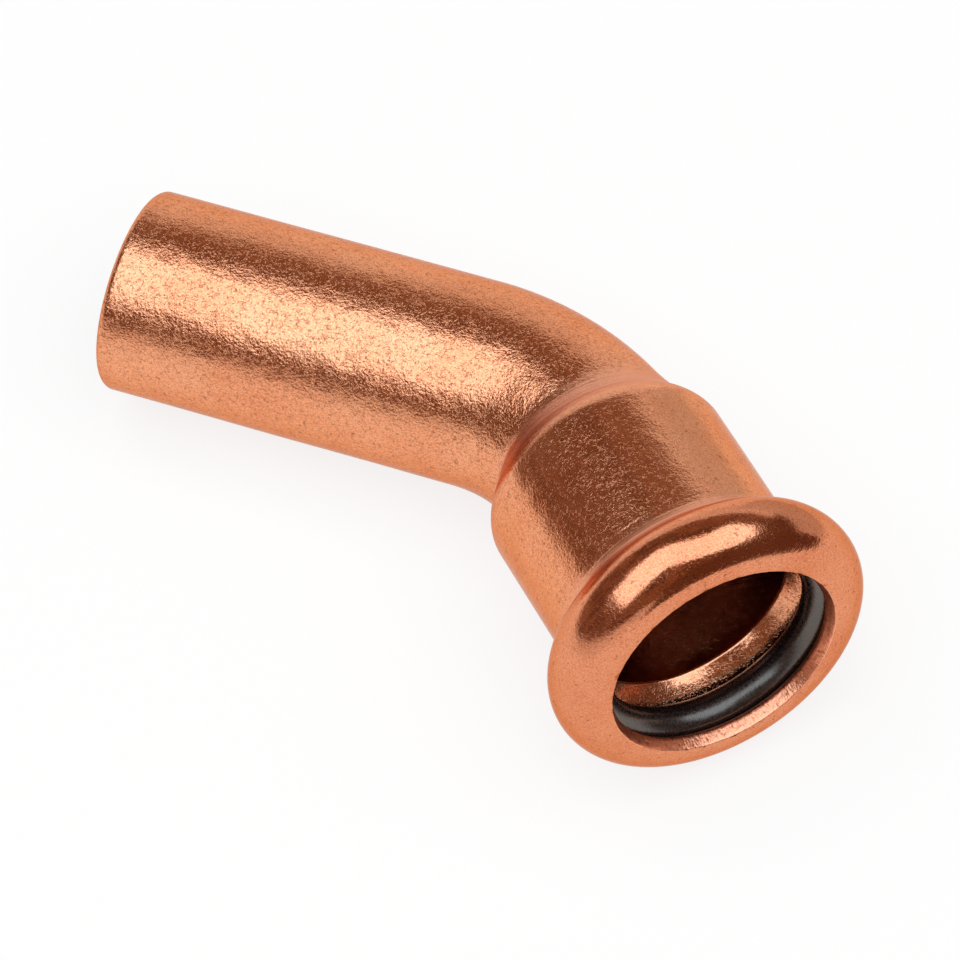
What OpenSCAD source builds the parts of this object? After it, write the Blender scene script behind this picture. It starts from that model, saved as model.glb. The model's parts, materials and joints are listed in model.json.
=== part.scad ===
// Press-fit street elbow in copper: a plain spigot, a bend and a press socket, formed as one piece of tube.
// The socket's mouth ends in a round bead with a turned-in lip, and the bead holds a rubber sealing ring.
// Millimetres. The origin is on the spigot's axis, where its straight run meets the bend. The spigot runs
// along -X, and the fitting lies as it comes to rest: on the spigot's side and on the rim of the bead.

/* [Tube] */
// Outside diameter of the tube that the fitting joins, and of the spigot
tube_od = 15; // [12:0.5:22]
// Wall of the formed copper
wall = 1.3; // [0.9:0.05:1.7]

/* [Spigot] */
// Straight length of the spigot, from its cut end to the bend
spigot_len = 26.6; // [20:0.1:40]
// Rounding of the spigot's cut edges
spigot_edge = 0.3; // [0.1:0.05:0.4]

/* [Bend] */
// Angle between the spigot's axis and the socket's axis
bend_angle = 45; // [30:1:60]
// Radius of the bend at the middle of the tube
bend_r = 14.6; // [13:0.1:30]

/* [Socket] */
// Radial clearance between the tube and the socket's bore
socket_clearance = 0.25; // [0.1:0.05:0.4]
// Straight length of the socket's bore
socket_straight = 11.4; // [9:0.1:20]
// Outer radius of the hollow at the foot of the shoulder
shoulder_foot_r = 0.7; // [0.4:0.1:1.5]
// Outer radius of the round at the top of the shoulder
shoulder_top_r = 2; // [1.8:0.1:3]
// Step that the forming tools leave in the wall where the bend meets the socket
forming_step = 0.05; // [0.03:0.01:0.1]

/* [Bead] */
// Section diameter of the sealing ring
ring_section = 2.9; // [2.4:0.1:3.6]
// Radial gap between the relaxed ring and the tube
ring_tube_gap = 0.05; // [0.02:0.01:0.15]
// Gap between the ring and the inside of the bead
ring_seat_gap = 0.1; // [0.05:0.01:0.2]
// Outer radius of the hollow between the socket and the bead
neck_r = 0.8; // [0.5:0.1:1.4]
// Radial clearance between the tube and the turned-in lip
lip_clearance = 0.75; // [0.5:0.05:0.95]
// Rounding of the lip's cut edges
lip_edge = 0.15; // [0.05:0.05:0.3]

/* [Hidden] */
$fn = 96;
// Largest turn between two points of a rounded outline, in degrees
arc_step = 7.5;
// Length by which the bend's wall runs on inside the socket's wall
bend_overrun = 0.25;

// Radii about the axes
tube_r = tube_od / 2;
waterway_r = tube_r - wall;
bore_r = tube_r + socket_clearance;
socket_r = bore_r + wall;
lip_r = tube_r + lip_clearance;

// The bead is the ring's section, a seating gap and the wall
ring_r = ring_section / 2;
seat_r = ring_r + ring_seat_gap;
bead_r = seat_r + wall;
bead_mid_r = tube_r + ring_tube_gap + ring_r;

// Turn of the bend with the overrun
bend_sweep = bend_angle + bend_overrun / bend_r * 180 / PI;

// Stations along the socket's axis, measured from the end of the bend
shoulder_turn = acos(1 - (socket_r - tube_r) / (shoulder_foot_r + shoulder_top_r));
shoulder_len = (shoulder_foot_r + shoulder_top_r) * sin(shoulder_turn);
neck_y = shoulder_len + socket_straight;
neck_mid_r = socket_r + neck_r;
neck_turn = acos((bead_mid_r - neck_mid_r) / (neck_r + bead_r));
bead_y = neck_y + (neck_r + bead_r) * sin(neck_turn);

// The same stations from the point where the two axes cross
bend_run = bend_r * tan(bend_angle / 2);
shoulder_reach = bend_run + shoulder_len;
bead_reach = bend_run + bead_y;

// Rise of the socket's axis at which a round rim, at that reach along it, meets the floor under the spigot
function rise_at_rest(reach, mid_r, rim_r) =
    let (a = reach * reach + mid_r * mid_r)
    let (b = reach * (tube_r - rim_r))
    let (c = (tube_r - rim_r) * (tube_r - rim_r) - mid_r * mid_r)
    (sqrt(b * b - a * c) - b) / a;
rest_rise = max(
    rise_at_rest(bead_reach, bead_mid_r, bead_r),
    rise_at_rest(shoulder_reach, socket_r - shoulder_top_r, shoulder_top_r));
// Roll about the spigot's axis that gives this rise
rest_roll = asin(rest_rise / sin(bend_angle));

// Point of the circle about mid, at a turn from the section's radial direction
function on_circle(mid, r, turn) = mid + r * [cos(turn), sin(turn)];

// Points along an arc about mid, after its first point
function arc(mid, r, from, to) =
    let (steps = max(3, ceil(abs(to - from) / arc_step)))
    [for (i = [1 : steps]) on_circle(mid, r, from + (to - from) * i / steps)];

// Rolls the fitting about the spigot's axis until the bead meets the floor
module at_rest() {
    rotate([-rest_roll, 0, 0])
        children();
}

// Carries what is turned about +Z to the socket's axis, from the end of the bend on
module on_socket_axis() {
    translate([0, -bend_r, 0])
        rotate([0, 0, -bend_angle])
            translate([0, bend_r, 0])
                rotate([0, 90, 0])
                    children();
}

// Half section of the spigot, from the bend out to the cut end, whose edges are rounded
module spigot_section() {
    edge_y = spigot_len - spigot_edge;
    outer = [tube_r - spigot_edge, edge_y];
    inner = [waterway_r + spigot_edge, edge_y];
    polygon(concat(
        [[waterway_r, 0], [tube_r, 0], [tube_r, edge_y]],
        arc(outer, spigot_edge, 0, 90),
        [[inner[0], spigot_len]],
        arc(inner, spigot_edge, 90, 180)));
}

module spigot() {
    rotate([0, -90, 0])
        rotate_extrude()
            spigot_section();
}

// The bend's wall ends inside the socket's wall
module bend() {
    translate([0, -bend_r, 0])
        rotate([180, 0, 90])
            rotate_extrude(angle = bend_sweep)
                translate([bend_r, 0])
                    rotate(90)
                        difference() {
                            circle(r = tube_r);
                            circle(r = waterway_r);
                        }
}

// Half section of the socket: one wall of even thickness, followed out on its outer face and back inside
module socket_section() {
    foot = [tube_r + shoulder_foot_r, 0];
    top = [socket_r - shoulder_top_r, shoulder_len];
    neck = [neck_mid_r, neck_y];
    bead = [bead_mid_r, bead_y];
    front = [lip_r + lip_edge, bead_y + bead_r - lip_edge];
    back = [lip_r + lip_edge, bead_y + seat_r + lip_edge];
    foot_inner_r = shoulder_foot_r + wall;
    step_out = 180 - acos(1 - forming_step / shoulder_foot_r);
    step_in = 180 - acos(1 - forming_step / foot_inner_r);
    outside = concat(
        [[tube_r + forming_step, 0], on_circle(foot, shoulder_foot_r, step_out)],
        arc(foot, shoulder_foot_r, step_out, 180 - shoulder_turn),
        arc(top, shoulder_top_r, -shoulder_turn, 0),
        [[socket_r, neck_y]],
        arc(neck, neck_r, 180, neck_turn),
        arc(bead, bead_r, neck_turn - 180, 90));
    lip = concat(
        [[front[0], front[1] + lip_edge]],
        arc(front, lip_edge, 90, 180),
        [[lip_r, back[1]]],
        arc(back, lip_edge, 180, 270));
    inside = concat(
        [[bead_mid_r, bead_y + seat_r]],
        arc(bead, seat_r, 90, neck_turn - 180),
        arc(neck, neck_r + wall, neck_turn, 180),
        [[bore_r, shoulder_len]],
        arc(top, shoulder_top_r - wall, 0, -shoulder_turn),
        arc(foot, foot_inner_r, 180 - shoulder_turn, step_in),
        [[waterway_r + forming_step, 0]]);
    polygon(concat(outside, lip, inside));
}

module socket() {
    on_socket_axis()
        rotate_extrude()
            socket_section();
}

// Spigot, bend and socket are one formed tube
module elbow_body() {
    color("#c9794c")
        at_rest() {
            spigot();
            bend();
            socket();
        }
}

// Rubber sealing ring in the bead
module o_ring() {
    color("#1d1d1f")
        at_rest()
            on_socket_axis()
                rotate_extrude()
                    translate([bead_mid_r, bead_y])
                        circle(r = ring_r);
}

elbow_body();
o_ring();
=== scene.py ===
# %% [markdown]
# A press-fit street elbow in copper. One end is a plain spigot, the other a socket with a round
# bead, and a black rubber ring sits in the bead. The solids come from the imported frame, which fixes
# every size and place. This script dresses them: it draws the formed tube with the marks its tools
# leave, gives it a copper surface, and sets up a small photo table.

# %% Load the frame
import json
import math
import random

import bpy
import numpy as np
from mathutils import Matrix, Vector


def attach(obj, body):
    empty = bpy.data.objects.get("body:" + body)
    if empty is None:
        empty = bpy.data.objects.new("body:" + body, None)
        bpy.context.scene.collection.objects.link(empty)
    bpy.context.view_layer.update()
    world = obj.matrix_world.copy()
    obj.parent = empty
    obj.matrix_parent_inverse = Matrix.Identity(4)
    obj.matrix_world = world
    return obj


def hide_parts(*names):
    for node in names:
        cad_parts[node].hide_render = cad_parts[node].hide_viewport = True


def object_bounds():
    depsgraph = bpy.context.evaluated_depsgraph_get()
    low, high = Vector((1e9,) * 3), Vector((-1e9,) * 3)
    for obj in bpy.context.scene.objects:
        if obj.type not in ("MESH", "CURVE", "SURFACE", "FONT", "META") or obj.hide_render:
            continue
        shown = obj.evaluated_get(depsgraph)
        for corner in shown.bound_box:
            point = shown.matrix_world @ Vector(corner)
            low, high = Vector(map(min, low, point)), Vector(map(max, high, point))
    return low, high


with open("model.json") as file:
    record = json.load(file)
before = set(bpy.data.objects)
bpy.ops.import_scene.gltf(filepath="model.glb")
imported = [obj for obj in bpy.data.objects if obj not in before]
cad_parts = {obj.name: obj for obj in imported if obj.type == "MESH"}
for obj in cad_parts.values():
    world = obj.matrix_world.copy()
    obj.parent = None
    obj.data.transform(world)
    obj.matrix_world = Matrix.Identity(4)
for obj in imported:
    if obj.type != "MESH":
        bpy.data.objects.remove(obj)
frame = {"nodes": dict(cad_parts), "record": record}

cad_low, cad_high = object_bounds()
record = frame["record"]


def box_sides(low, high):
    """Sides of a box, in millimetres."""
    return [round(1000 * (b - a), 2) for a, b in zip(low, high)]


print("frame:", sorted(frame["nodes"]), "box in mm:", box_sides(cad_low, cad_high))

# %% [markdown]
# The record's two mounts give the fit: the spigot is a pin, the socket a bore, and the bore's axis
# also tells how far the elbow turns and how it has rolled to lie at rest. What the record doesn't
# hold, such as the wall or the bead's roundings, is repeated here from the part's own drawing, in
# millimetres.

# %% Sizes, in millimetres
MM = 0.001
mounts = {m["name"]: m for m in record["mounts"]}
tube_r = mounts["spigot"]["dims"]["r_mm"]
bore_r = mounts["socket"]["dims"]["r_mm"]
socket_straight = mounts["socket"]["dims"]["length_mm"]
socket_axis = Vector(mounts["socket"]["axis"]).normalized()

wall = 1.3
spigot_len, spigot_edge = 26.6, 0.3
bend_r = 14.6
foot_r, top_r = 0.7, 2.0
ring_section, ring_tube_gap, ring_seat_gap = 2.9, 0.05, 0.1
neck_r, lip_clearance = 0.8, 0.75

waterway_r = tube_r - wall
socket_r = bore_r + wall
ring_r = ring_section / 2
seat_r = ring_r + ring_seat_gap
bead_r = seat_r + wall
bead_mid_r = tube_r + ring_tube_gap + ring_r
lip_r = tube_r + lip_clearance
shoulder_turn = math.acos(1 - (socket_r - tube_r) / (foot_r + top_r))
shoulder_len = (foot_r + top_r) * math.sin(shoulder_turn)
neck_y = shoulder_len + socket_straight
neck_mid_r = socket_r + neck_r
neck_turn = math.acos((bead_mid_r - neck_mid_r) / (neck_r + bead_r))
bead_y = neck_y + (neck_r + bead_r) * math.sin(neck_turn)
print(f"bead {2 * (bead_mid_r + bead_r):.2f} mm across, mouth {2 * lip_r:.2f} mm,",
      f"socket {bead_y + bead_r:.2f} mm long")

# %% [markdown]
# The real tube was bent round a former, so its middle line is a straight run, a bend of half a
# right angle, and a straight run again. A curve with a bevel would draw such a tube, but not a wall
# with a bead and a lip. So one function gives the place of a section that stands square to the
# line: its centre, the direction away from the bend's own centre, and the direction across the
# bend.

# %% The tube's middle line
along_x = Vector((1, 0, 0))
bend_angle = math.acos(socket_axis.x)
toward = (socket_axis - along_x * socket_axis.x).normalized()
across = along_x.cross(-toward)
bend_centre = toward * bend_r


def section_place(part, along):
    """Centre, outward direction and across direction of the tube's section, in millimetres."""
    turn = {"spigot": 0.0, "bend": along, "socket": bend_angle}[part]
    tangent = along_x * math.cos(turn) + toward * math.sin(turn)
    outward = along_x * math.sin(turn) - toward * math.cos(turn)
    centre = bend_centre + outward * bend_r
    if part != "bend":
        centre = centre + tangent * along
    return centre, outward, across


mouth = section_place("socket", bead_y + bead_r)[0]
print("bend", round(math.degrees(bend_angle), 3), "degrees, mouth at", [round(x, 2) for x in mouth], "mm")

# %% [markdown]
# The body is drawn as a lathe would turn it: as an outline of radius against length, followed from
# the spigot's cut end along the outside to the lip, and back along the inside. A solidify modifier
# could give a thin tube its wall, but here the lip and both cut ends show, so the outline goes
# round the wall itself. Three small helpers draw its pieces. Each leaves its first point out,
# because the piece before it has drawn that one.

# %% Helpers for the outline
STRAIGHT_STEP = 0.7


def arc(mid_r, mid_along, r, start, end, steps):
    """Points (along, radius) of an arc. Angles in degrees from the radial direction."""
    turns = [math.radians(start + (end - start) * (i + 1) / steps) for i in range(steps)]
    return [(mid_along + r * math.sin(t), mid_r + r * math.cos(t)) for t in turns]


def run(start, end, radius, step=STRAIGHT_STEP):
    """Points of a straight wall."""
    count = max(1, round(abs(end - start) / step))
    return [(start + (end - start) * (i + 1) / count, radius) for i in range(count)]


def line(start, end, count):
    """Points of a straight line between two points."""
    return [tuple(a + (b - a) * (i + 1) / count for a, b in zip(start, end)) for i in range(count)]


outline = []


def add(part, skin, points):
    """Adds points to the outline, with the part of the tube and the kind of skin they belong to."""
    outline.extend((part, skin, along, radius) for along, radius in points)


print("a quarter of a 2 mm arc ends at", [round(x, 3) for x in arc(0, 0, 2, 0, 90, steps=4)[-1]])

# %% [markdown]
# On the outside the metal stays full in the hollows of the shoulder and the neck, so those are
# drawn wider than the tool's own radius, and the spigot's outer edge is rounder than its inner one,
# as a deburred edge is. Points lie closest together where the tools leave fine ring lines: at the
# foot of the shoulder and at the neck.

# %% Outline: the outside
BEND_STEPS = 28
LINE_STEP, LINE_ZONE = 0.06, 1.2
SOFT_FOOT_R, SOFT_TOP_R, SOFT_NECK_R = 5.0, 3.0, 2.2
END_EDGE = 0.65

soft_turn = math.acos(1 - (socket_r - tube_r) / (SOFT_FOOT_R + SOFT_TOP_R))
soft_deg = math.degrees(soft_turn)
foot_y = shoulder_len - (SOFT_FOOT_R + SOFT_TOP_R) * math.sin(soft_turn)
soft_neck = math.acos((bead_mid_r - socket_r - SOFT_NECK_R) / (SOFT_NECK_R + bead_r))
soft_neck_deg = math.degrees(soft_neck)
soft_neck_y = bead_y - (SOFT_NECK_R + bead_r) * math.sin(soft_neck)
end_y = spigot_edge - spigot_len
plain_turn = bend_angle + (foot_y - LINE_ZONE) / bend_r


def add_soft_foot(points):
    """Adds the shoulder's hollow, which starts on the bend and ends on the socket."""
    for along, radius in points:
        if along > 0:
            add("socket", "out", [(along, radius)])
        else:
            add("bend", "out", [(bend_angle + along / bend_r, radius)])


add("spigot", "cut", arc(waterway_r + spigot_edge, end_y, spigot_edge, 180, 270, steps=6))
add("spigot", "cut", line((-spigot_len, waterway_r + spigot_edge), (-spigot_len, tube_r - END_EDGE), 3))
add("spigot", "out", arc(tube_r - END_EDGE, END_EDGE - spigot_len, END_EDGE, 270, 360, steps=12))
add("spigot", "out", run(END_EDGE - spigot_len, 0, tube_r))
add("bend", "out", run(0, plain_turn, tube_r, bend_angle / BEND_STEPS))
add("bend", "out", run(plain_turn, bend_angle + foot_y / bend_r, tube_r, LINE_STEP / bend_r))
add_soft_foot(arc(tube_r + SOFT_FOOT_R, foot_y, SOFT_FOOT_R, 180, 180 - soft_deg, steps=44))
add("socket", "out", arc(socket_r - SOFT_TOP_R, shoulder_len, SOFT_TOP_R, -soft_deg, 0, steps=20))
add("socket", "out", run(shoulder_len, soft_neck_y - LINE_ZONE, socket_r))
add("socket", "out", run(soft_neck_y - LINE_ZONE, soft_neck_y, socket_r, LINE_STEP))
add("socket", "out", arc(socket_r + SOFT_NECK_R, soft_neck_y, SOFT_NECK_R, 180, soft_neck_deg, steps=36))
add("socket", "out", arc(bead_mid_r, bead_y, bead_r, soft_neck_deg - 180, 90, steps=50))
print("outside:", len(outline), "points; shoulder", round(soft_deg, 1), "degrees at its steepest")

# %% [markdown]
# The bead ends in a lip, where the wall was sheared off after rolling. Its cut face leans forward
# by some degrees, because the wall that carries it is rolled in and not folded flat, so it shows as
# a pale band inside the mouth. The shear leaves the front edge crisp and rolls the back edge over.

# %% Outline: the lip
LIP_LEAN, LIP_FRONT_EDGE, LIP_BACK_EDGE = 21.0, 0.08, 0.42
front_y, back_y = bead_y + bead_r - LIP_FRONT_EDGE, bead_y + seat_r + LIP_BACK_EDGE
lean = math.radians(LIP_LEAN)
edge_change = LIP_FRONT_EDGE - LIP_BACK_EDGE
lip_run = front_y - back_y + edge_change * math.sin(lean)
front_r = lip_r + LIP_BACK_EDGE + edge_change * math.cos(lean) + lip_run * math.tan(lean)
lip_front = arc(front_r, front_y, LIP_FRONT_EDGE, 90, 180 - LIP_LEAN, steps=4)
lip_back = arc(lip_r + LIP_BACK_EDGE, back_y, LIP_BACK_EDGE, 180 - LIP_LEAN, 270, steps=8)
add("socket", "out", [(bead_y + bead_r, front_r)])
add("socket", "cut", lip_front)
add("socket", "cut", line(lip_front[-1], lip_back[0], 5)[:-1])
add("socket", "cut", lip_back)
print("lip: cut face", round(lip_run, 2), "mm long, leaning", LIP_LEAN, "degrees")

# %% [markdown]
# Inside, the bead is the ring's seat. Where the bore opens into the bead, the punch leaves a fold,
# and a flare runs from there to the seat: one more arc, worked out so that it leaves the fold
# smoothly and ends on the seat. The rest follows the tube back to the spigot's end.

# %% Outline: the inside
FOLD_R, FOLD_DEG, FOLD_OUT = 0.6, 41.0, 0.2
BORE_STEP, WATERWAY_STEP = 0.9, 1.2
shoulder_deg, neck_deg = math.degrees(shoulder_turn), math.degrees(neck_turn)
seat = arc(bead_mid_r, bead_y, seat_r, 90, neck_deg - 180, steps=28)
fold_y = neck_y + FOLD_OUT
flare_y, flare_r = arc(bore_r + FOLD_R, fold_y, FOLD_R, 180, 180 - FOLD_DEG, steps=1)[0]
rise_y, rise_r = seat[-1][0] - flare_y, seat[-1][1] - flare_r
flare_turn = math.atan2(rise_r, rise_y) - math.radians(FOLD_DEG)
flare_radius = math.hypot(rise_y, rise_r) / (2 * math.sin(flare_turn))
flare_mid_y = flare_y - flare_radius * math.sin(math.radians(FOLD_DEG))
flare_mid_r = flare_r + flare_radius * math.cos(math.radians(FOLD_DEG))
flare_end_deg = FOLD_DEG + 2 * math.degrees(flare_turn)
add("socket", "rolled", [(bead_y + seat_r, bead_mid_r)])
add("socket", "rolled", seat)
flare = arc(flare_mid_r, flare_mid_y, flare_radius, 180 - flare_end_deg, 180 - FOLD_DEG, steps=16)
add("socket", "rolled", flare)
add("socket", "rolled", arc(bore_r + FOLD_R, fold_y, FOLD_R, 180 - FOLD_DEG, 180, steps=10))
add("socket", "in", run(fold_y, shoulder_len, bore_r, BORE_STEP))
add("socket", "in", arc(socket_r - top_r, shoulder_len, top_r - wall, 0, -shoulder_deg, steps=10))
add("socket", "in", arc(tube_r + foot_r, 0, foot_r + wall, 180 - shoulder_deg, 180, steps=14))
add("bend", "in", run(bend_angle, 0, waterway_r, bend_angle / BEND_STEPS))
add("spigot", "in", run(0, end_y, waterway_r, WATERWAY_STEP))
print("outline:", len(outline), "points")

# %% [markdown]
# A bent and pressed tube isn't perfect. The outside of the bend is pulled a little flat and its
# inside pressed in, the socket swells where the punch has passed, and the tools leave ring lines up
# to two hundredths of a millimetre deep, deeper on one side than on the other. The whole surface is
# uneven by another hundredth, which makes real metal's reflections waver. The saw's cut is a little
# out of square. A displace modifier could do some of this, but it knows nothing of the bend, so
# each is worked out here as a change of the radius.

# %% What forming does to the tube
FLAT = 0.16
DENT, DENT_REACH, DENT_END = 0.3, 3.0, 0.9
SWELL, SWELL_START, SWELL_FADES, SWELL_GONE = 0.10, 0.8, -0.6, 0.4
SLOW_WAVE, QUICK_WAVE = 0.009, 0.006
SAW_SKEW, SAW_REACH = 0.2, 6.0
saw_high = Vector((0.0, 0.9, 0.437))
LINE_WIDTH = 0.09
# Where each ring line lies, measured from the end of the bend, and how deep it is
line_depths = {0.35: 0.014, -0.25: 0.018, -0.75: 0.016, -1.2: 0.014, -1.8: 0.008,
               soft_neck_y + 1.0: 0.014, soft_neck_y + 0.45: 0.014,
               soft_neck_y - 0.1: 0.010, soft_neck_y - 0.7: 0.004}


def smooth(value, low, high):
    """0 below low, 1 above high, and an even slope between them."""
    t = min(1.0, max(0.0, (value - low) / (high - low)))
    return t * t * (3 - 2 * t)


def hump(value, middle, width):
    """1 at the middle, fading to 0 on both sides."""
    return math.exp(-(((value - middle) / width) ** 2))


def ring_lines(along, theta):
    """Dips of the fine ring lines, along measured from the end of the bend."""
    uneven = 0.7 + 0.3 * math.sin(theta + 0.6)
    return -sum(depth * uneven * hump(along, place, LINE_WIDTH) for place, depth in line_depths.items())


def forming(part, skin, along, theta):
    """Change of radius in millimetres, theta measured from the outside of the bend."""
    station = {"spigot": along, "bend": along * bend_r, "socket": along + bend_angle * bend_r}[part]
    from_foot = station - bend_angle * bend_r
    change = SLOW_WAVE * math.sin(3 * theta + 0.31 * station) * math.sin(0.17 * station + theta)
    change += QUICK_WAVE * math.sin(5 * theta - 0.43 * station + 1.1)
    inner_side = max(0.0, -math.cos(theta)) ** 2
    change -= DENT * inner_side * hump(from_foot, 0.0, DENT_REACH if from_foot < 0 else DENT_END)
    if part == "bend":
        change -= FLAT * math.sin(math.pi * along / bend_angle) * max(0.0, math.cos(theta)) ** 2
    if skin == "out":
        change += ring_lines(from_foot, theta)
        fading = smooth(-from_foot, -(neck_y + SWELL_GONE), -(neck_y + SWELL_FADES))
        change += SWELL * smooth(from_foot, SWELL_START, shoulder_len) * fading
    return change


def saw_shift(part, along, spoke):
    """Shift along the spigot that sets its cut end out of square."""
    if part != "spigot":
        return 0.0
    return SAW_SKEW * spoke.dot(saw_high) * smooth(-along, spigot_len - SAW_REACH, spigot_len)


print("deepest ring line:", max(line_depths.values()), "mm; bend flattened by", FLAT, "mm")

# %% [markdown]
# The finish differs along the tube. The tools burnish the hollows and the bead, which takes the
# grain down and leaves turning marks in the hollows. The hollows are also painted paler: partly
# burnish, partly painted light against the deep red shade where copper faces copper. The bead,
# rolled last, is painted darker: painted shade that dims its reflections. Such masks could be
# painted on the mesh by hand. Here three functions of the place along the tube give them, so they
# stay right when a size changes, and the mesh carries them to the copper.

# %% Where the tools have rubbed, and where light and shade are painted
FOLD_GRAIN, FLARE_MORE, FLARE_REACH = 0.1, 0.25, 0.5
INSIDE_GRAIN, CUT_GRAIN, SOCKET_GRAIN, TUBE_GRAIN = 0.5, 0.15, 0.35, 0.62
FOOT_MIDDLE, FOOT_RUBBED_WIDTH, FOOT_RUBBED = 0.1, 1.6, 0.5
BEAD_RUBBED_FROM, BEAD_RUBBED_TO, BEAD_RUBBED = -1.0, 0.2, 0.66
FOOT_MARK_WIDTH, NECK_MARK_MIDDLE, NECK_MARK_WIDTH = 1.7, 1.7, 1.2


def grain_share(part, skin, along):
    """How much of the skin's grain is left."""
    if skin == "rolled":
        return FOLD_GRAIN + FLARE_MORE * smooth(along, flare_y, flare_y + FLARE_REACH)
    if skin != "out":
        return {"in": INSIDE_GRAIN, "cut": CUT_GRAIN}[skin]
    if part == "spigot":
        return TUBE_GRAIN
    from_foot = along if part == "socket" else (along - bend_angle) * bend_r
    left_at_foot = 1 - FOOT_RUBBED * hump(from_foot, FOOT_MIDDLE, FOOT_RUBBED_WIDTH)
    if part == "bend":
        return TUBE_GRAIN * left_at_foot
    on_bead = smooth(along, neck_y + BEAD_RUBBED_FROM, neck_y + BEAD_RUBBED_TO)
    return SOCKET_GRAIN * left_at_foot * (1 - BEAD_RUBBED * on_bead)


def mark_share(part, skin, along):
    """Where the tools leave turning marks, in the hollows of the shoulder and the neck; the colour there is
    also painted paler: painted light on the deep red shade.
    """
    if skin != "out" or part == "spigot":
        return 0.0
    from_foot = along if part == "socket" else (along - bend_angle) * bend_r
    at_neck = hump(from_foot, soft_neck_y + NECK_MARK_MIDDLE, NECK_MARK_WIDTH)
    return hump(from_foot, FOOT_MIDDLE, FOOT_MARK_WIDTH) + at_neck


def oil_share(part, skin, along):
    """1 on the outside of the bead, where painted shade darkens the copper."""
    return smooth(along, neck_y, bead_y) if part == "socket" and skin == "out" else 0.0


print("grain left on the tube:", TUBE_GRAIN, "and at the foot:", round(grain_share("socket", "out", 0.1), 3))

# %% [markdown]
# Skinning joins the sections. Each outline point becomes a ring of points round the middle line,
# and neighbouring rings are joined by four-sided faces. Because the outline closes on itself, so
# does the skin, and the wall has a true inside. The lip's cut face carries the shear's ticks, and
# its front edge is nicked all round. What kind of skin a point lies on is kept too, so the copper
# can tell a cut edge from a drawn wall.

# %% Points of the copper body
AROUND = 226
NICK, TICK, NICK_REACH = 0.03, 0.012, 0.15
WALL_KIND = {"out": 0.0, "rolled": 0.25, "in": 0.5, "cut": 1.0}
shears = random.Random(15)
nick_depth = [NICK * shears.random() ** 2 for _ in range(AROUND)]
tick_depth = [TICK * shears.uniform(-1, 1) for _ in range(AROUND)]
thetas = [2 * math.pi * j / AROUND for j in range(AROUND)]

body_points = []
finish = {"wall_kind": [], "grain_depth": [], "turning_marks": [], "oil_film": []}
for part, skin, along, radius in outline:
    centre, outward, side = section_place(part, along)
    on_lip = part == "socket" and skin == "cut" and along > back_y
    for j, theta in enumerate(thetas):
        r = radius + forming(part, skin, along, theta)
        if on_lip:
            r += tick_depth[j] + nick_depth[j] * smooth(along, front_y - NICK_REACH, front_y)
        spoke = outward * math.cos(theta) + side * math.sin(theta)
        body_points.append((centre + spoke * r + along_x * saw_shift(part, along, spoke)) * MM)
    finish["wall_kind"] += [WALL_KIND[skin]] * AROUND
    finish["grain_depth"] += [grain_share(part, skin, along)] * AROUND
    finish["turning_marks"] += [mark_share(part, skin, along)] * AROUND
    finish["oil_film"] += [oil_share(part, skin, along)] * AROUND
print(len(outline), "rings of", AROUND, "points")

# %% The copper body


def closed_skin(rings, around):
    """Four-sided faces that join each ring of points to the next, and the last ring to the first."""
    faces = []
    for i in range(rings):
        k = (i + 1) % rings
        for j in range(around):
            m = (j + 1) % around
            faces.append((i * around + j, k * around + j, k * around + m, i * around + m))
    return faces


def turn_outside_out(faces, points):
    """Faces wound so that their normals point out of the closed skin."""
    p = np.array([tuple(q) for q in points])
    f = np.array(faces)
    volume = np.einsum("ij,ij->i", p[f[:, 0]], np.cross(p[f[:, 1]], p[f[:, 2]])).sum()
    volume += np.einsum("ij,ij->i", p[f[:, 0]], np.cross(p[f[:, 2]], p[f[:, 3]])).sum()
    return [tuple(reversed(q)) for q in faces] if volume < 0 else faces


def make_piece(name, points, faces, cad_node):
    """A smooth mesh piece that stands for a CAD node and rides with the root body."""
    mesh = bpy.data.meshes.new(name)
    mesh.from_pydata([tuple(p) for p in points], [], turn_outside_out(faces, points))
    mesh.update()
    mesh.polygons.foreach_set("use_smooth", [True] * len(mesh.polygons))
    piece = bpy.data.objects.new(name, mesh)
    bpy.context.scene.collection.objects.link(piece)
    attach(piece, "root")
    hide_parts(cad_node)
    return piece


body_faces = closed_skin(len(outline), AROUND)
body = make_piece("formed_copper_elbow", body_points, body_faces, "elbow_body")
for attribute, values in finish.items():
    body.data.attributes.new(attribute, "FLOAT", "POINT").data.foreach_set("value", values)
print(body.name, len(body.data.polygons), "faces")

# %% [markdown]
# The O-ring is a moulded loop of round section. The two halves of its mould meet on the inner and
# outer equator and leave a hairline of flash, trimmed almost flush. A ring pressed into a bead is
# never quite even, so it wavers by a few hundredths as well. Blender's own torus has neither, so
# its points are set here.

# %% The sealing ring
RING_AROUND, RING_SIDES = 240, 48
FLASH, FLASH_FROM = 0.03, 0.985
SLOW_SWAY, QUICK_SWAY = 0.02, 0.012
ring_centre, ring_out, ring_side = section_place("socket", bead_y)
ring_axis = ring_side.cross(ring_out).normalized()

ring_points = []
for j in range(RING_AROUND):
    theta = 2 * math.pi * j / RING_AROUND
    spoke = ring_out * math.cos(theta) + ring_side * math.sin(theta)
    sway = SLOW_SWAY * math.sin(2 * theta + 0.7) + QUICK_SWAY * math.sin(5 * theta)
    for i in range(RING_SIDES):
        phi = 2 * math.pi * i / RING_SIDES
        flash = FLASH * max(0.0, abs(math.cos(phi)) - FLASH_FROM) / (1 - FLASH_FROM)
        centre = ring_centre + spoke * bead_mid_r + ring_axis * sway
        rim = (spoke * math.cos(phi) + ring_axis * math.sin(phi)) * (ring_r + flash - FLASH)
        ring_points.append((centre + rim) * MM)

ring_faces = closed_skin(RING_AROUND, RING_SIDES)
seal = make_piece("moulded_sealing_ring", ring_points, ring_faces, "o_ring")
print(seal.name, len(seal.data.polygons), "faces")

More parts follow.
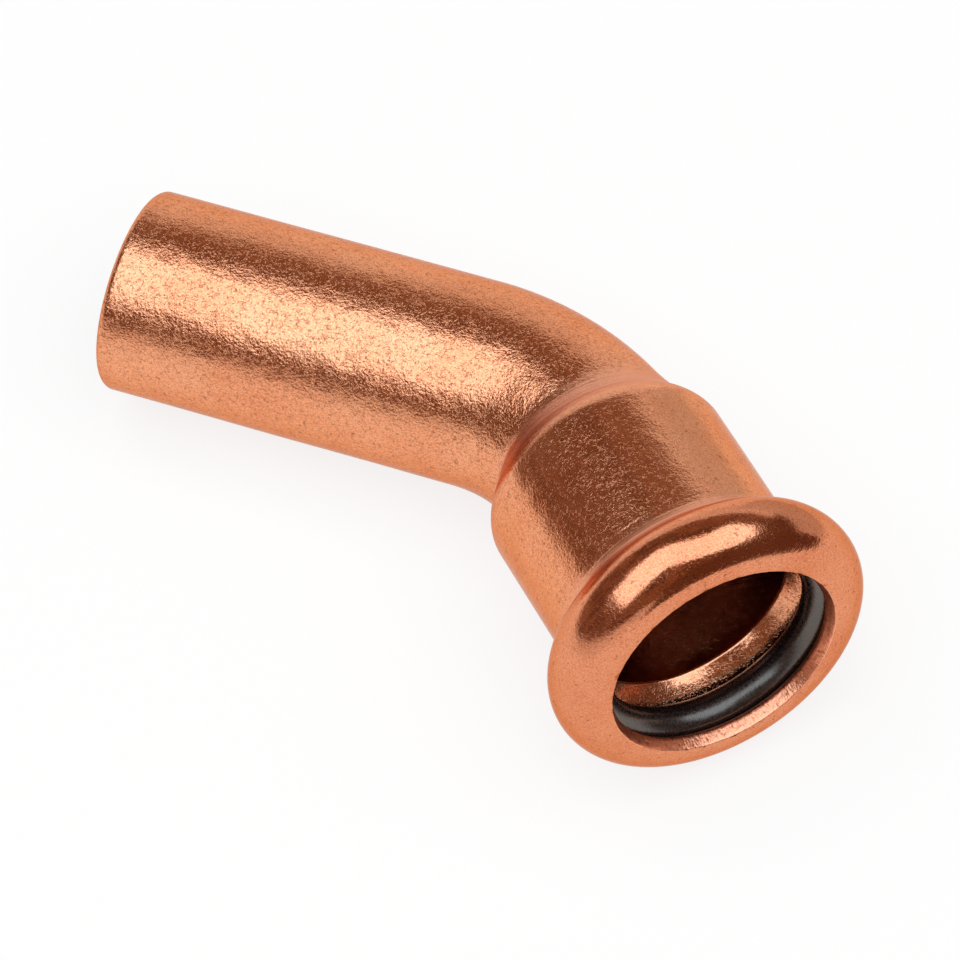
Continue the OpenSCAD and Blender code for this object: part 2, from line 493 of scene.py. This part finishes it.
# %% [markdown]
# Two small helpers serve every finish. One turns an sRGB hex colour, as a paint chart gives it,
# into the linear values that a shader works with. The other adds a node, sets what is given and
# links what is linked. A few settings come back so often that they have a short name.

# %% Helpers for finishes
SMOOTHLY = {"interpolation_type": "SMOOTHSTEP"}
TIMES, TIMES_PLUS = {"operation": "MULTIPLY"}, {"operation": "MULTIPLY_ADD"}
DOT = {"operation": "DOT_PRODUCT"}
RGBA = {"data_type": "RGBA"}


def colour(code):
    """Linear RGBA of an sRGB hex colour."""
    parts = [int(code[i : i + 2], 16) / 255 for i in (1, 3, 5)]
    return tuple(c / 12.92 if c <= 0.04045 else ((c + 0.055) / 1.055) ** 2.4 for c in parts) + (1.0,)


def node(tree, kind, settings=None, **inputs):
    """Adds a node with its settings. inputs are sockets, by name with _ for spaces, or by place as i0, i1."""
    made = tree.nodes.new(kind)
    for name, value in (settings or {}).items():
        setattr(made, name, value)
    for name, value in inputs.items():
        index = int(name[1:]) if name[0] == "i" and name[1:].isdigit() else name.replace("_", " ")
        socket = made.inputs[index]
        if isinstance(value, bpy.types.NodeSocket):
            tree.links.new(value, socket)
        else:
            socket.default_value = value
    return made


def new_material(name):
    """An empty node material and its tree."""
    made = bpy.data.materials.new(name)
    made.use_nodes = True
    made.node_tree.nodes.clear()
    return made, made.node_tree


print("mid grey in linear light:", round(colour("#808080")[0], 3))

# %% [markdown]
# The fitting is bare copper, drawn as tube, annealed, formed cold and then pickled in acid, which
# strips the oxide and eats into the skin along the metal's grains. Up close the skin is a mesh of
# short, winding grooves, a third of a millimetre long, over finer pits: they break the edge of
# every reflection into strokes. A noise's middle level, drawn as a line, gives the grooves; a finer
# noise gives the pits, and a broad one the slow waver of the wall. The finest are drawn coarser
# than in life, or they wouldn't show in the picture.

# %% Pickled copper: the patterns
GROOVE_MM, PIT_MM, DUST_MM, SPECK_MM = 0.34, 0.2, 0.11, 0.36
WAVER_MM, PATCH_MM = 1.3, 5.0
GROOVE_WIDTH = 0.045

copper, tree = new_material("pickled_copper")
place = node(tree, "ShaderNodeTexCoord").outputs["Object"]
wall_kind = node(tree, "ShaderNodeAttribute", {"attribute_name": "wall_kind"}).outputs["Fac"]
depth = node(tree, "ShaderNodeAttribute", {"attribute_name": "grain_depth"}).outputs["Fac"]
# Turning marks in the hollows, where the colour is also painted paler
marked = node(tree, "ShaderNodeAttribute", {"attribute_name": "turning_marks"}).outputs["Fac"]
# The bead's painted shade, as a share from the mesh
oily = node(tree, "ShaderNodeAttribute", {"attribute_name": "oil_film"}).outputs["Fac"]
# How far inside a point lies, for the inside's painted shade
inside = node(tree, "ShaderNodeMapRange", SMOOTHLY, Value=wall_kind, From_Min=0.15, From_Max=0.5)
is_cut = node(tree, "ShaderNodeMapRange", SMOOTHLY, Value=wall_kind, From_Min=0.6, From_Max=0.9)

level = node(tree, "ShaderNodeTexNoise", Vector=place, Scale=1 / (GROOVE_MM * MM),
             Detail=2.0, Roughness=0.6, Distortion=0.4)
off_level = node(tree, "ShaderNodeMath", {"operation": "SUBTRACT"}, i0=level.outputs["Fac"], i1=0.5)
from_level = node(tree, "ShaderNodeMath", {"operation": "ABSOLUTE"}, i0=off_level.outputs[0])
groove = node(tree, "ShaderNodeMapRange", SMOOTHLY, Value=from_level.outputs[0],
              From_Min=0.0, From_Max=GROOVE_WIDTH, To_Min=1.0, To_Max=0.0)
pit = node(tree, "ShaderNodeTexNoise", Vector=place, Scale=1 / (PIT_MM * MM),
           Detail=2.0, Roughness=0.5, Distortion=0.2)
dust = node(tree, "ShaderNodeTexNoise", Vector=place, Scale=1 / (DUST_MM * MM), Detail=2.0, Roughness=0.6)
speck = node(tree, "ShaderNodeTexNoise", Vector=place, Scale=1 / (SPECK_MM * MM), Detail=3.0, Roughness=0.7)
waver = node(tree, "ShaderNodeTexNoise", Vector=place, Scale=1 / (WAVER_MM * MM), Detail=1.0)
patch = node(tree, "ShaderNodeTexNoise", Vector=place, Scale=1 / (PATCH_MM * MM), Detail=3.0, Roughness=0.6)
# The grooves are broken where the specks are thin, which makes strokes of them
kept = node(tree, "ShaderNodeMapRange", SMOOTHLY, Value=speck.outputs["Fac"], From_Min=0.44, From_Max=0.56)
stroke = node(tree, "ShaderNodeMath", TIMES, i0=groove.outputs[0], i1=kept.outputs[0])
print(copper.name, "grooves", GROOVE_MM, "mm, pits", PIT_MM, "mm, dust", DUST_MM, "mm")

# %% [markdown]
# Its colour drifts between two coppers. The acid leaves a trace of brown in the grooves and pits
# and as small specks. The hollows are burnished and also painted paler, painted light against the
# deep red shade where copper faces copper. The bead is painted darker, which is painted shade, and
# the inside is painted browner and duller: painted shade, full in the bore and the waterway and
# faint on the flare.

# %% Pickled copper: the colour
COPPER_DEEP, COPPER_PALE = "#e0855a", "#ffb58a"
SOIL_BROWN, SPECK_BROWN = "#8a5a40", "#7a3d27"
# The paler hollows are partly painted light, the bead's tint is painted shade, and the inside colour is
# painted shade
RUBBED_COPPER, OIL_TINT, INSIDE_FILM = "#f1b092", "#f0e5e4", "#bb8c76"

drift = node(tree, "ShaderNodeMath", TIMES_PLUS, i0=patch.outputs["Fac"], i1=0.4, i2=dust.outputs["Fac"])
tone = node(tree, "ShaderNodeValToRGB", Fac=drift.outputs[0])
for stop, position, code in zip(tone.color_ramp.elements, (0.46, 0.94), (COPPER_DEEP, COPPER_PALE)):
    stop.position, stop.color = position, colour(code)
soiled = node(tree, "ShaderNodeMapRange", SMOOTHLY, Value=pit.outputs["Fac"],
              From_Min=0.30, From_Max=0.50, To_Min=0.22, To_Max=0.0)
soil = node(tree, "ShaderNodeMath", TIMES_PLUS, i0=stroke.outputs[0], i1=0.36, i2=soiled.outputs[0])
left = node(tree, "ShaderNodeMapRange", Value=depth, From_Min=0.1, From_Max=0.5, To_Min=0.25, To_Max=1.0)
stain = node(tree, "ShaderNodeMath", TIMES, i0=soil.outputs[0], i1=left.outputs[0])
grooved = node(tree, "ShaderNodeMix", RGBA, i0=stain.outputs[0], i6=tone.outputs[0], i7=colour(SOIL_BROWN))
dots = node(tree, "ShaderNodeMapRange", SMOOTHLY, Value=speck.outputs["Fac"],
            From_Min=0.60, From_Max=0.71, To_Min=0.0, To_Max=0.6)
dotted = node(tree, "ShaderNodeMix", RGBA, i0=dots.outputs[0], i6=grooved.outputs[2], i7=colour(SPECK_BROWN))
# Partly painted light: the burnished hollows are painted paler, which lightens the deep red shade where
# copper faces copper
rubbed = node(tree, "ShaderNodeMix", RGBA, i0=marked, i6=dotted.outputs[2], i7=colour(RUBBED_COPPER))
# Painted shade: the bead's outside is multiplied by a darker tint, which dims its reflections
oiled = node(tree, "ShaderNodeMix", {"data_type": "RGBA", "blend_type": "MULTIPLY"},
             i0=oily, i6=rubbed.outputs[2], i7=colour(OIL_TINT))
# Painted shade: the inside is browner and duller, fully in the bore and waterway, faintly on the flare
filmed = node(tree, "ShaderNodeMix", RGBA, i0=inside.outputs[0], i6=oiled.outputs[2], i7=colour(INSIDE_FILM))
print("copper from", COPPER_DEEP, "to", COPPER_PALE)

# %% [markdown]
# The lip's and the spigot's cut faces are bare and bright, with the shear's fine lines across them:
# dark ticks that change round the mouth and not along it. So their noise is given only the two
# directions round the mouth.

# %% Pickled copper: the cut
SHEAR_MM = 0.16
TICK_BROWN, BARE_COPPER = "#a35e40", "#f8a681"

round_1 = node(tree, "ShaderNodeVectorMath", DOT, i0=place, i1=section_place("socket", 0)[1])
round_2 = node(tree, "ShaderNodeVectorMath", DOT, i0=place, i1=across)
round_mouth = node(tree, "ShaderNodeCombineXYZ", X=round_1.outputs["Value"], Y=round_2.outputs["Value"])
shear = node(tree, "ShaderNodeTexNoise", Vector=round_mouth.outputs[0], Scale=1 / (SHEAR_MM * MM), Detail=1.0)
sheared = node(tree, "ShaderNodeValToRGB", Fac=shear.outputs["Fac"])
for stop, position, code in zip(sheared.color_ramp.elements, (0.26, 0.4), (TICK_BROWN, BARE_COPPER)):
    stop.position, stop.color = position, colour(code)
bared = node(tree, "ShaderNodeMix", RGBA, i0=is_cut.outputs[0], i6=filmed.outputs[2], i7=sheared.outputs[0])
print("shear ticks", SHEAR_MM, "mm apart")

# %% [markdown]
# Three bumps follow each other. The skin's has the pits, less the grooves, on the slow waver, as
# deep as the grain that is left. The turning marks' noise only changes along the socket, and the
# shear lines' only round the mouth. They could be displaced points, but most are finer than the
# mesh, whose points lie a fifth of a millimetre apart round the tube.

# %% Pickled copper: the height
MARK_MM = 0.26
SKIN_HEIGHT, SHEAR_HEIGHT, MARK_HEIGHT = 0.063 * MM, 0.03 * MM, 0.04 * MM

pitted = node(tree, "ShaderNodeMath", TIMES_PLUS, i0=stroke.outputs[0], i1=-0.3, i2=pit.outputs["Fac"])
wavering = node(tree, "ShaderNodeMath", TIMES_PLUS, i0=waver.outputs["Fac"], i1=2.0, i2=pitted.outputs[0])
height = node(tree, "ShaderNodeMath", TIMES, i0=wavering.outputs[0], i1=depth)
skin_bump = node(tree, "ShaderNodeBump", Strength=1.0, Distance=SKIN_HEIGHT, Height=height.outputs[0])
along_socket = node(tree, "ShaderNodeVectorMath", DOT, i0=place, i1=socket_axis)
mark = node(tree, "ShaderNodeTexNoise", {"noise_dimensions": "1D"}, W=along_socket.outputs["Value"],
            Scale=1 / (MARK_MM * MM), Detail=2.0)
mark_bump = node(tree, "ShaderNodeBump", Strength=marked, Distance=MARK_HEIGHT,
                 Height=mark.outputs["Fac"], Normal=skin_bump.outputs[0])
shear_bump = node(tree, "ShaderNodeBump", Strength=is_cut.outputs[0], Distance=SHEAR_HEIGHT,
                  Height=shear.outputs["Fac"], Normal=mark_bump.outputs[0])
print("skin", round(SKIN_HEIGHT / MM, 3), "mm high, turning marks", round(MARK_HEIGHT / MM, 3), "mm")

# %% [markdown]
# Copper is a metal, so its colour is the colour of its reflections, and a warm edge tint keeps them
# from going white at the rim. The skin is fairly smooth between its grooves; turning marks and the
# torn cut are rougher.

# %% Pickled copper: the gloss
MARK_ROUGHER, CUT_ROUGHER = 0.3, 0.17
EDGE_TINT = "#e9c4b0"

gloss = node(tree, "ShaderNodeMapRange", Value=patch.outputs["Fac"],
             From_Min=0.3, From_Max=0.7, To_Min=0.11, To_Max=0.16)
turned_skin = node(tree, "ShaderNodeMath", TIMES_PLUS, i0=marked, i1=MARK_ROUGHER, i2=gloss.outputs[0])
torn = node(tree, "ShaderNodeMath", TIMES_PLUS,
            i0=is_cut.outputs[0], i1=CUT_ROUGHER, i2=turned_skin.outputs[0])
copper_skin = node(tree, "ShaderNodeBsdfPrincipled", Base_Color=bared.outputs[2], Metallic=1.0,
                   Roughness=torn.outputs[0], Specular_Tint=colour(EDGE_TINT), Normal=shear_bump.outputs[0])
node(tree, "ShaderNodeOutputMaterial", Surface=copper_skin.outputs[0])
body.data.materials.append(copper)
print(copper.name, len(tree.nodes), "nodes")

# %% [markdown]
# The ring is EPDM rubber, black with soot and moulded in a polished steel mould. It comes oiled
# with a little silicone, so that a tube slides in, and the oil gives it soft highlights, broken up
# by a trace of talc. Rubber isn't a metal: its colour is almost black, and what shows is mostly its
# gloss. A coat could be the oil, but it drew hard, flat highlights. A higher IOR on the rubber
# itself gives the oil's strength, with soft edges.

# %% Moulded EPDM rubber
RUBBER_GRAIN_MM, PORE_DEPTH = 0.18, 0.009 * MM
SOOT_BLACK, TALC_GREY, WARM_GLOSS = "#0c0c0e", "#1a1b1d", "#ffeee2"
rubber, tree = new_material("moulded_epdm_rubber")
place = node(tree, "ShaderNodeTexCoord").outputs["Object"]
talc = node(tree, "ShaderNodeTexNoise", Vector=place, Scale=1 / (RUBBER_GRAIN_MM * MM),
            Detail=3.0, Roughness=0.6)
shade = node(tree, "ShaderNodeValToRGB", Fac=talc.outputs["Fac"])
for stop, position, code in zip(shade.color_ramp.elements, (0.4, 0.75), (SOOT_BLACK, TALC_GREY)):
    stop.position, stop.color = position, colour(code)
satin = node(tree, "ShaderNodeMapRange", Value=talc.outputs["Fac"],
             From_Min=0.3, From_Max=0.7, To_Min=0.18, To_Max=0.34)
pores = node(tree, "ShaderNodeBump", Strength=1.0, Distance=PORE_DEPTH, Height=talc.outputs["Fac"])
rubber_skin = node(tree, "ShaderNodeBsdfPrincipled", Base_Color=shade.outputs[0], IOR=1.9,
                   Roughness=satin.outputs[0], Specular_IOR_Level=0.56, Specular_Tint=colour(WARM_GLOSS),
                   Normal=pores.outputs[0])
node(tree, "ShaderNodeOutputMaterial", Surface=rubber_skin.outputs[0])
seal.data.materials.append(rubber)
print(rubber.name, len(tree.nodes), "nodes")

# %% [markdown]
# Metal shows its surroundings, so the surroundings are built like a product photographer's table: a
# white sheet, a large soft light overhead, and dark sheets around that glow with their own colour and
# that only reflections see: painted shade, which draws the dark lines that give shiny tube its form.
# The sheet is paper that also glows a little for the camera and for gloss: so it looks white without
# more light on the object, and still takes the object's shadow.

# %% Table and floor
floor_z = cad_low.z
FLOOR_HALF, GLOW_SHARE, ROOM_FILL = 3.0, 0.8, 0.3


def stage_sheet(name, corners, material):
    """A flat sheet for the photo table, which isn't part of the object."""
    mesh = bpy.data.meshes.new(name)
    mesh.from_pydata(corners, [], [tuple(range(len(corners)))])
    mesh.materials.append(material)
    sheet = bpy.data.objects.new(name, mesh)
    bpy.context.scene.collection.objects.link(sheet)
    return sheet


def seen_as_background(tree):
    """1 for rays from the camera, from gloss and through glass."""
    rays = node(tree, "ShaderNodeLightPath").outputs
    largest = {"operation": "MAXIMUM"}
    first = node(tree, "ShaderNodeMath", largest, i0=rays["Is Camera Ray"], i1=rays["Is Glossy Ray"])
    both = node(tree, "ShaderNodeMath", largest, i0=first.outputs[0], i1=rays["Is Transmission Ray"])
    return both.outputs[0]


white_sheet, tree = new_material("white_paper_sheet")
paper = node(tree, "ShaderNodeBsdfDiffuse", Color=colour("#f2f2f2"))
glow = node(tree, "ShaderNodeEmission", Strength=1.0)
share = node(tree, "ShaderNodeMath", TIMES, i0=seen_as_background(tree), i1=GLOW_SHARE)
mixed = node(tree, "ShaderNodeMixShader", i0=share.outputs[0], i1=paper.outputs[0], i2=glow.outputs[0])
node(tree, "ShaderNodeOutputMaterial", Surface=mixed.outputs[0])
floor_corners = [(x * FLOOR_HALF, y * FLOOR_HALF, floor_z) for x, y in ((-1, -1), (1, -1), (1, 1), (-1, 1))]
stage_sheet("paper_floor", floor_corners, white_sheet)

world = bpy.data.worlds.new("white_room")
bpy.context.scene.world = world
world.use_nodes = True
tree = world.node_tree
tree.nodes.clear()
fill = node(tree, "ShaderNodeMapRange", Value=seen_as_background(tree), To_Min=ROOM_FILL, To_Max=1.0)
sky = node(tree, "ShaderNodeBackground", Strength=fill.outputs[0])
node(tree, "ShaderNodeOutputWorld", Surface=sky.outputs[0])
print("floor at", round(floor_z / MM, 3), "mm")

# %% [markdown]
# The soft light is one flat panel overhead, wider to the right and behind, with a bay cut out where
# the camera looks in. An area lamp gives its light, and a sheet that glows, and that only gloss
# sees, gives its outline in the metal, because a lamp's own outline can only be a rectangle or an
# ellipse. The sheet has the faint blue of daylight tubes, which keeps copper's highlights from
# going too orange.

# %% Soft light
PANEL_Z = 0.6
LAMP_RADIANCE, PANEL_RADIANCE, DAYLIGHT = 1.9, 2.4, "#dff1ff"
LAMP_SIDES, LAMP_MIDDLE = (1.3, 0.85), (0.08, -0.12)
# Corners as shares of the panel's height, seen from above
panel_outline = [(-1.0, -0.6), (-0.62, 0.38), (-0.4, 0.33), (0.12, 0.28), (0.3, 0.8), (0.95, 0.8),
                 (1.55, 0.25), (1.55, -0.1), (0.9, -0.42), (0.16, -0.42), (0.1, -1.5), (-0.4, -1.1)]

lamp = bpy.data.lights.new("soft_lamp", "AREA")
lamp.shape, (lamp.size, lamp.size_y) = "RECTANGLE", LAMP_SIDES
lamp.energy = LAMP_RADIANCE * math.pi * lamp.size * lamp.size_y
overhead = bpy.data.objects.new("soft_lamp", lamp)
overhead.location = LAMP_MIDDLE + (PANEL_Z,)
overhead.visible_camera = overhead.visible_glossy = False
bpy.context.scene.collection.objects.link(overhead)


def only_for_gloss(card):
    """Leaves a glowing piece to reflections alone."""
    card.visible_camera = card.visible_diffuse = card.visible_shadow = False
    card.visible_transmission = card.visible_volume_scatter = False


def glowing_sheet(name, strength, tint):
    """A material that only glows."""
    made, tree = new_material(name)
    glow = node(tree, "ShaderNodeEmission", Color=colour(tint), Strength=strength)
    node(tree, "ShaderNodeOutputMaterial", Surface=glow.outputs[0])
    return made


diffuser = glowing_sheet("lit_diffuser_cloth", PANEL_RADIANCE, DAYLIGHT)
panel_corners = [(x * PANEL_Z, y * PANEL_Z, PANEL_Z) for x, y in panel_outline]
only_for_gloss(stage_sheet("soft_light_panel", panel_corners, diffuser))
print("lamp", LAMP_SIDES, "m; panel corners:", len(panel_outline), "at", PANEL_Z, "m")

# %% [markdown]
# A drum surrounds the table. It glows with its own colour and only reflections see it: pale low
# down, a painted reflection of the lit table, and dark above, painted shade of a dark room. How far
# the pale part reaches up differs round the drum. A plain dark glow would do, but the dark part is
# mottled with painted shadows, as a room beyond the table is, which makes the tube's dark bands
# less flat. The mesh carries each point's height above the pale part's edge.

# %% The glowing drum of painted table and room
DRUM_R, DRUM_TOP, DRUM_SIDES, SOFT_EDGE = 0.9, 0.62, 96, 0.05
PALE_CARD, DARK_CARD, DEEP_CARD = "#e9e9e9", "#987a68", "#5b4538"
CARD_SHADOW = 0.13


def pale_top(x, y):
    """Height to which the drum is pale: low on the left, high behind. x and y are shares of its radius."""
    return 0.19 + 0.24 * max(0.0, y) - 0.19 * max(0.0, -x) ** 2


drum_turns = [2 * math.pi * i / DRUM_SIDES for i in range(DRUM_SIDES)]
drum_rims = [(math.cos(t), math.sin(t), z) for z in (floor_z, DRUM_TOP) for t in drum_turns]
drum_points = [(DRUM_R * x, DRUM_R * y, z) for x, y, z in drum_rims]
drum_edges = [(i, (i + 1) % DRUM_SIDES) for i in range(DRUM_SIDES)]
drum_faces = [(i, j, DRUM_SIDES + j, DRUM_SIDES + i) for i, j in drum_edges]
drum_faces.append(tuple(DRUM_SIDES + i for i in range(DRUM_SIDES)))
drum_mesh = bpy.data.meshes.new("card_drum")
drum_mesh.from_pydata(drum_points, [], drum_faces)
above_pale = drum_mesh.attributes.new("above_pale", "FLOAT", "POINT")
above_pale.data.foreach_set("value", [z - pale_top(x, y) for x, y, z in drum_rims])

# Painted reflections: the drum only glows, pale like a lit table low down, dark and mottled like a shaded
# room above
card, tree = new_material("pale_and_dark_card")
above = node(tree, "ShaderNodeAttribute", {"attribute_name": "above_pale"}).outputs["Fac"]
darkening = node(tree, "ShaderNodeMapRange", SMOOTHLY, Value=above, From_Min=-SOFT_EDGE, From_Max=SOFT_EDGE)
room = node(tree, "ShaderNodeTexCoord").outputs["Object"]
shadows = node(tree, "ShaderNodeTexNoise", Vector=room, Scale=1 / CARD_SHADOW, Detail=1.0)
dark = node(tree, "ShaderNodeValToRGB", Fac=shadows.outputs["Fac"])
for stop, position, code in zip(dark.color_ramp.elements, (0.38, 0.62), (DEEP_CARD, DARK_CARD)):
    stop.position, stop.color = position, colour(code)
shade = node(tree, "ShaderNodeMix", RGBA, i0=darkening.outputs[0], i6=colour(PALE_CARD), i7=dark.outputs[0])
glow = node(tree, "ShaderNodeEmission", Color=shade.outputs[2])
node(tree, "ShaderNodeOutputMaterial", Surface=glow.outputs[0])
drum_mesh.materials.append(card)
drum = bpy.data.objects.new("card_drum", drum_mesh)
bpy.context.scene.collection.objects.link(drum)
only_for_gloss(drum)
print("drum", 2 * DRUM_R, "m across,", DRUM_TOP, "m high")

# %% [markdown]
# Two small sheets stand close to the fitting, where a photographer would set cards by hand. They
# glow with their own dark and grey colour and only reflections see them: painted shade. The dark one
# on the right draws the socket's dark side, and the grey one behind it tones down the socket's far
# side.

# %% Standing sheets of painted shade
# Each glowing sheet's two ends on the floor, its top and its painted shade colour
standing_cards = {"dark_card_right": ((0.13, -0.16), (0.13, 0.30), 0.09, "#694f42"),
                  "grey_card_behind": ((0.014, 0.045), (0.13, 0.045), 0.028, "#d0d0d0")}
# Painted shade: each sheet glows with its own colour, and only reflections see it
for name, ((x0, y0), (x1, y1), top, tint) in standing_cards.items():
    corners = [(x0, y0, floor_z), (x1, y1, floor_z), (x1, y1, top), (x0, y0, top)]
    only_for_gloss(stage_sheet(name, corners, glowing_sheet(name, 1.0, tint)))
print("cards:", ", ".join(standing_cards))

# %% [markdown]
# The camera stands where the photograph's did, worked out from the outline of the fitting: high, a
# little to the right, with a long lens and the frame turned by a few degrees. Its place and its two
# image directions are given as they came out, and a matrix built from them sets the camera in one
# go.

# %% Camera
IMAGE_X = Vector((0.94063001, 0.33277483, -0.06690361))
IMAGE_UP = Vector((-0.26389489, 0.84091853, 0.47245689))
CAMERA_MM = Vector((85.557, -172.998, 341.118))
lens = bpy.data.cameras.new("photo_lens")
lens.sensor_width, lens.lens = 36.0, 204.946
lens.clip_start, lens.clip_end = 0.01, 20.0
camera = bpy.data.objects.new("photo_camera", lens)
bpy.context.scene.collection.objects.link(camera)
back_axis = IMAGE_X.cross(IMAGE_UP).normalized()
up_axis = back_axis.cross(IMAGE_X).normalized()
turned = Matrix((IMAGE_X.normalized(), up_axis, back_axis)).transposed().to_4x4()
camera.matrix_world = Matrix.Translation(CAMERA_MM * MM) @ turned
bpy.context.scene.camera = camera
bpy.context.scene.view_settings.view_transform = "Standard"
print("camera", [round(x, 4) for x in camera.location])
